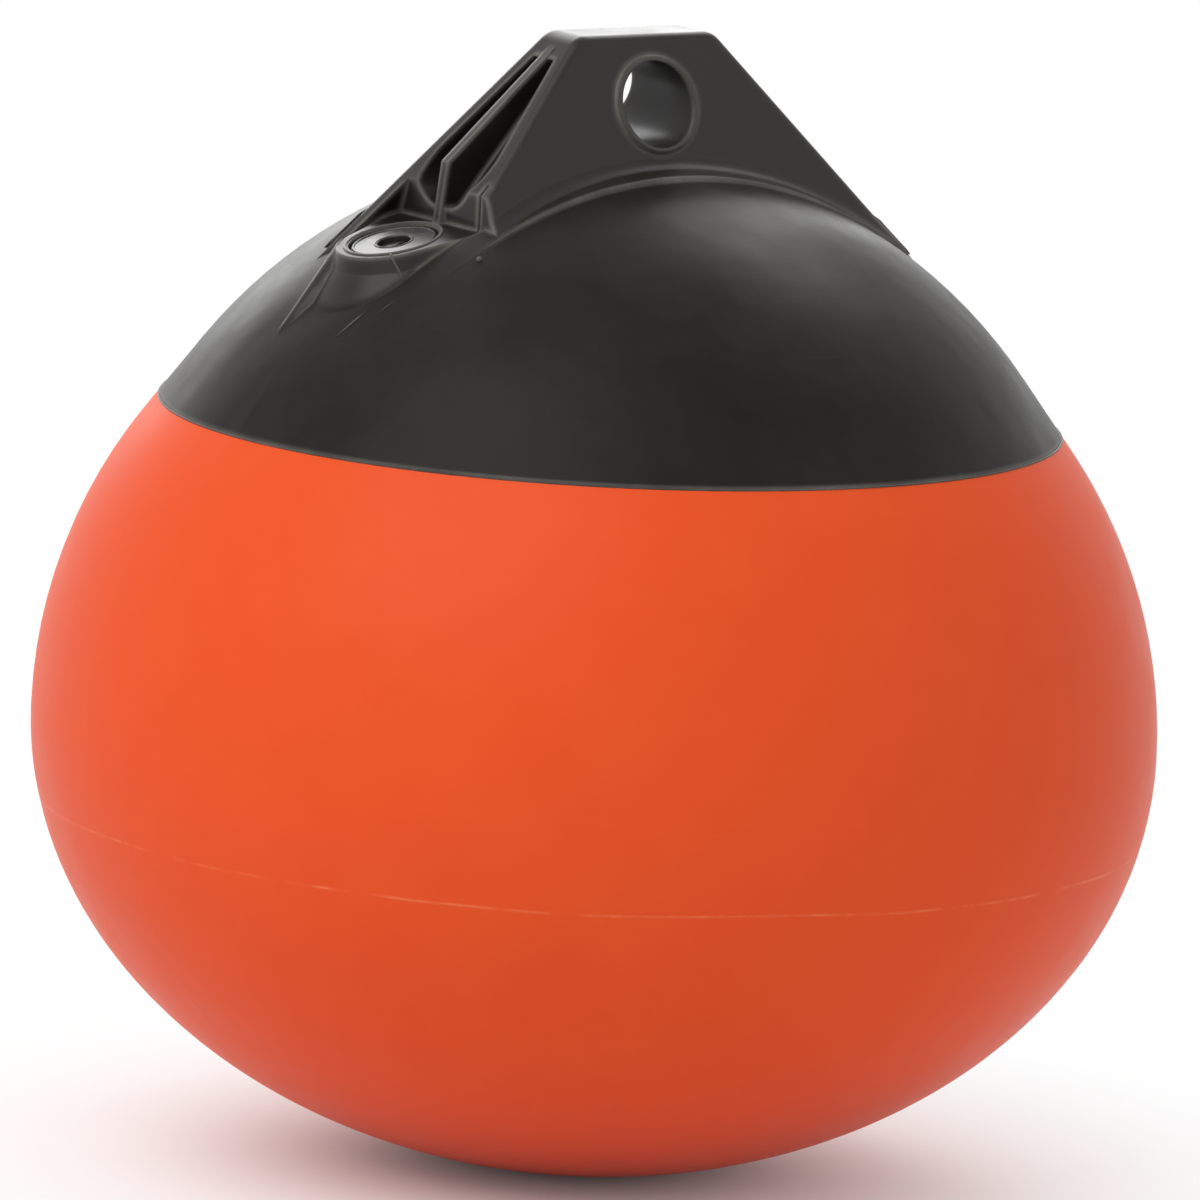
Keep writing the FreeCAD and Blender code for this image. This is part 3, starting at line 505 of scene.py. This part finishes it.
# Lighter grey painted on the corners as a painted highlight.
CORNER_HIGHLIGHT_GREY = (0.24, 0.225, 0.2)
SCUFF_GREY = (0.05, 0.046, 0.04)
SCUFF_STRENGTH = 0.25


def make_crown_finish():
    material, tree, shader = new_material("black_vinyl")
    shader.inputs["IOR"].default_value = VINYL_IOR
    skin = add_skin(
        tree,
        shader,
        corner=0.0016,
        skin_size=520.0,
        skin_depth=0.00003,
        swell_size=26.0,
        swell_depth=0.001,
    )
    tone = add_tone(tree, skin, "Mottle", 0.3, CROWN_BLACK, 0.75, CROWN_LIGHTER_BLACK)
    # Painted highlight: the corners, broken up by the mottle, are blended towards a lighter grey.
    corner_highlight = add_product(tree, add_corner_mask(tree), "Result", skin, "Mottle")
    highlighted_tone = add_blend(tree, corner_highlight, "Value", tone, "Color", CORNER_HIGHLIGHT_GREY)
    faint = add_node(tree, "ShaderNodeMath", {1: SCUFF_STRENGTH}, operation="MULTIPLY")
    link(tree, skin, "Scuffs", faint, 0)
    scuffed = add_blend(tree, faint, "Value", highlighted_tone, "Result", SCUFF_GREY)
    link(tree, scuffed, "Result", shader, "Base Color")

    sheen = add_range(tree, add_polish_mask(tree), "Value", 0.0, 1.0, *CROWN_SPECULAR)
    link(tree, sheen, "Result", shader, "Specular IOR Level")
    gloss = add_range(tree, skin, "Mottle", 0.3, 0.7, *CROWN_ROUGHNESS)
    link(tree, gloss, "Result", shader, "Roughness")
    return material


crown_finish = make_crown_finish()
dress("ropehold_crown", crown_finish)

# %% [markdown]
# ## Valve
#
# The seat and the screw are harder plastic than the crown, turned and then pressed in, so they are smoother
# and catch sharper light. The washer is plain matt rubber. The three finishes are the same small graph with
# other numbers, so one function makes them all.

# %% Valve finishes
VALVE_IOR = 1.48
ROUGHNESS_SPREAD = 0.1


def make_valve_finish(name, dark, light, roughness, corner):
    material, tree, shader = new_material(name)
    shader.inputs["IOR"].default_value = VALVE_IOR
    skin = add_skin(
        tree,
        shader,
        corner=corner,
        skin_size=1500.0,
        skin_depth=0.00001,
        swell_size=120.0,
        swell_depth=0.00008,
    )
    tone = add_tone(tree, skin, "Mottle", 0.0, dark, 1.0, light)
    link(tree, tone, "Color", shader, "Base Color")
    spread = {1: ROUGHNESS_SPREAD, 2: roughness - ROUGHNESS_SPREAD / 2}
    gloss = add_node(tree, "ShaderNodeMath", spread, operation="MULTIPLY_ADD")
    link(tree, skin, "Mottle", gloss, 0)
    link(tree, gloss, "Value", shader, "Roughness")
    return material


seat_finish = make_valve_finish(
    "valve_seat_plastic", (0.018, 0.016, 0.013), (0.03, 0.027, 0.022), roughness=0.27, corner=0.0005
)
plug_finish = make_valve_finish(
    "valve_plug_plastic", (0.012, 0.012, 0.011), (0.022, 0.021, 0.019), roughness=0.28, corner=0.0003
)
seal_finish = make_valve_finish(
    "seal_rubber", (0.01, 0.01, 0.01), (0.018, 0.018, 0.018), roughness=0.7, corner=0.0002
)
dress("valve_seat", seat_finish)
dress("valve_plug", plug_finish)
dress("valve_seal", seal_finish)

# %% [markdown]
# ## Thin beads and marks from the mould
#
# Some details stand a millimetre or less proud of the solids: the bead where the black is fused over the
# orange, the lips round the valve, and the creases and the vent pip on the crown. All but the pip are thin
# tubes along a path, so one function makes them. A curve with a bevel would do, but its cross-section can
# twist. Here each circle is placed by the direction that points away from the surface, so half of the tube
# always stays sunk.

# %% Sweep a thin tube
TUBE_SIDES = 10


def sweep(path, outward, radii, closed):
    """A tube along a path. Its cross-section is a circle that is square to the path."""
    shape = bmesh.new()
    last = len(path) - 1
    for i, point in enumerate(path):
        ahead = path[(i + 1) % len(path)] if closed else path[min(i + 1, last)]
        behind = path[i - 1] if closed else path[max(i - 1, 0)]
        along = (ahead - behind).normalized()
        across = along.cross(outward[i]).normalized()
        up = across.cross(along)
        place = Matrix((-up, across, -along)).transposed().to_4x4()
        place.translation = point
        bmesh.ops.create_circle(shape, segments=TUBE_SIDES, radius=radii[i], matrix=place)
    edges = list(shape.edges)
    rings = [edges[start : start + TUBE_SIDES] for start in range(0, len(edges), TUBE_SIDES)]
    pairs = list(zip(rings, rings[1:]))
    if closed:
        pairs.append((rings[-1], rings[0]))
    for near, far in pairs:
        bmesh.ops.bridge_loops(shape, edges=near + far)
    bmesh.ops.holes_fill(shape, edges=shape.edges)
    bmesh.ops.recalc_face_normals(shape, faces=shape.faces)
    return shape


def add_piece(name, shape, material):
    """Turn a finished bmesh into an object that rides on the buoy."""
    for face in shape.faces:
        face.smooth = True
    mesh = bpy.data.meshes.new(name)
    shape.to_mesh(mesh)
    shape.free()
    mesh.materials.append(material)
    piece = bpy.data.objects.new(name, mesh)
    bpy.context.collection.objects.link(piece)
    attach(piece, "root")
    print(name, len(mesh.polygons), "faces")


# %% [markdown]
# ## Bead over the colour line
#
# Where the black cap is fused over the orange float, the joint squeezes out a hair-thin bead. It is a level
# ring, so its path is a circle, and its outside leans up by as much as the dome does at that height.

# %% Weld bead
def add_ring(name, ring_frame, ring_radius, level, lean, thickness, steps, material):
    """A closed bead round the Z axis of a frame. Lean is how far its outside points up from that plane."""
    path = []
    outward = []
    for i in range(steps):
        angle = 2 * math.pi * i / steps
        spoke = Vector((math.cos(angle), math.sin(angle), 0))
        path.append(ring_frame @ (spoke * ring_radius + Vector((0, 0, level))))
        away = spoke * math.cos(lean) + Vector((0, 0, math.sin(lean)))
        outward.append(ring_frame.to_3x3() @ away)
    shape = sweep(path, outward, [thickness] * steps, closed=True)
    add_piece(name, shape, material)


add_ring(
    "weld_bead",
    Matrix.Identity(4),
    ring_radius=0.15,
    level=0.2524,
    lean=math.radians(36.5),
    thickness=0.00035,
    steps=240,
    material=crown_finish,
)

# %% [markdown]
# ## Lips round the valve
#
# The recess, the disc and the mouth of the screw's bore each have a thin raised lip. They are rings too,
# but they need the valve's own frame: its shelf leans outwards by fifteen degrees, and the place below is
# the middle of the shelf in the CAD model. The disc lies a little deeper than the shelf, and so do the two
# lips on it.

# %% Valve lips
SHELF_MIDDLE = Vector((-0.0911, 0, 0.31512))
SHELF_TILT = math.radians(15)
DISC_LEVEL = -0.0009
STRAIGHT_UP = math.radians(90)
LIP_STEPS = 96

shelf_frame = Matrix.Translation(SHELF_MIDDLE) @ Matrix.Rotation(-SHELF_TILT, 4, "Y")
for name, ring_radius, level, thickness, finish, slot_name in (
    ("recess_lip", 0.0162, 0.0, 0.0006, crown_finish, "crown_vinyl"),
    ("disc_lip", 0.0136, DISC_LEVEL, 0.0005, seat_finish, "valve_seat_plastic"),
    ("plug_mouth_lip", 0.0063, DISC_LEVEL, 0.0004, seat_finish, "valve_seat_plastic"),
):
    add_ring(
        name, shelf_frame, ring_radius, level, STRAIGHT_UP, thickness, LIP_STEPS, finish
    )

# %% [markdown]
# ## Find the crown's surface
#
# The creases and the pip lie on the crown wherever its surface happens to be. A ray shot at the middle of
# the dome finds that surface, so a place needs only two angles: the turn round the buoy from the valve's
# side, and the lean from the vertical. A Shrinkwrap modifier could do the same, but then the paths could
# not be checked in plain numbers.

# %% Rays to the crown
DOME_CENTRE = Vector((0, 0, DOME_MIDDLE))
RAY_START = 0.25

crown_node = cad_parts["ropehold_crown"]
crown_surface = BVHTree.FromObject(crown_node, bpy.context.evaluated_depsgraph_get())
from_node = crown_node.matrix_world
to_node = from_node.inverted()


def on_crown(turn, lean):
    """The place on the crown at two angles in degrees, and the direction away from the dome's middle."""
    turn = math.radians(turn)
    lean = math.radians(lean)
    away = Vector((-math.cos(turn) * math.sin(lean), math.sin(turn) * math.sin(lean), math.cos(lean)))
    start = to_node @ (DOME_CENTRE + away * RAY_START)
    hit = crown_surface.ray_cast(start, to_node.to_3x3() @ -away)
    return from_node @ hit[0], away


print("crown at turn 0 and lean 37:", [round(v, 4) for v in on_crown(0.0, 37.0)[0]])

# %% [markdown]
# ## Creases
#
# Below the pad the real crown shows three short raised lines, where the vinyl folded as it cooled. Each
# runs between two places and tapers to both ends, and the tube follows the surface in between.

# %% Creases
CREASE_STEPS = 24
END_SHARE = 0.15


def add_crease(name, start, end, thickness):
    """A hair-thin raised line between two places on the crown, thickest in its middle."""
    path = []
    outward = []
    radii = []
    for i in range(CREASE_STEPS):
        share = i / (CREASE_STEPS - 1)
        turn = start[0] + (end[0] - start[0]) * share
        lean = start[1] + (end[1] - start[1]) * share
        place, away = on_crown(turn, lean)
        path.append(place)
        outward.append(away)
        radii.append(thickness * (END_SHARE + (1 - END_SHARE) * math.sin(math.pi * share)))
    shape = sweep(path, outward, radii, closed=False)
    add_piece(name, shape, crown_finish)


add_crease("dart_crease", start=(-5.0, 34.4), end=(-12.4, 37.2), thickness=0.0005)
add_crease("long_crease", start=(-9.4, 41.6), end=(-6.8, 46.5), thickness=0.0004)
add_crease("short_crease", start=(-13.5, 39.5), end=(-11.5, 42.5), thickness=0.0003)

# %% [markdown]
# ## Vent pip
#
# A mould lets its air out through tiny holes, and each leaves a pip. One shows on the dome to the right of
# the valve. A small sphere with its centre on the surface gives the round half that stands out.

# %% Vent pip
PIP_RADIUS = 0.0011

pip_place = Matrix.Translation(on_crown(-24.0, 31.8)[0])
pip_shape = bmesh.new()
bmesh.ops.create_uvsphere(pip_shape, u_segments=20, v_segments=10, radius=PIP_RADIUS, matrix=pip_place)
add_piece("vent_pip", pip_shape, crown_finish)
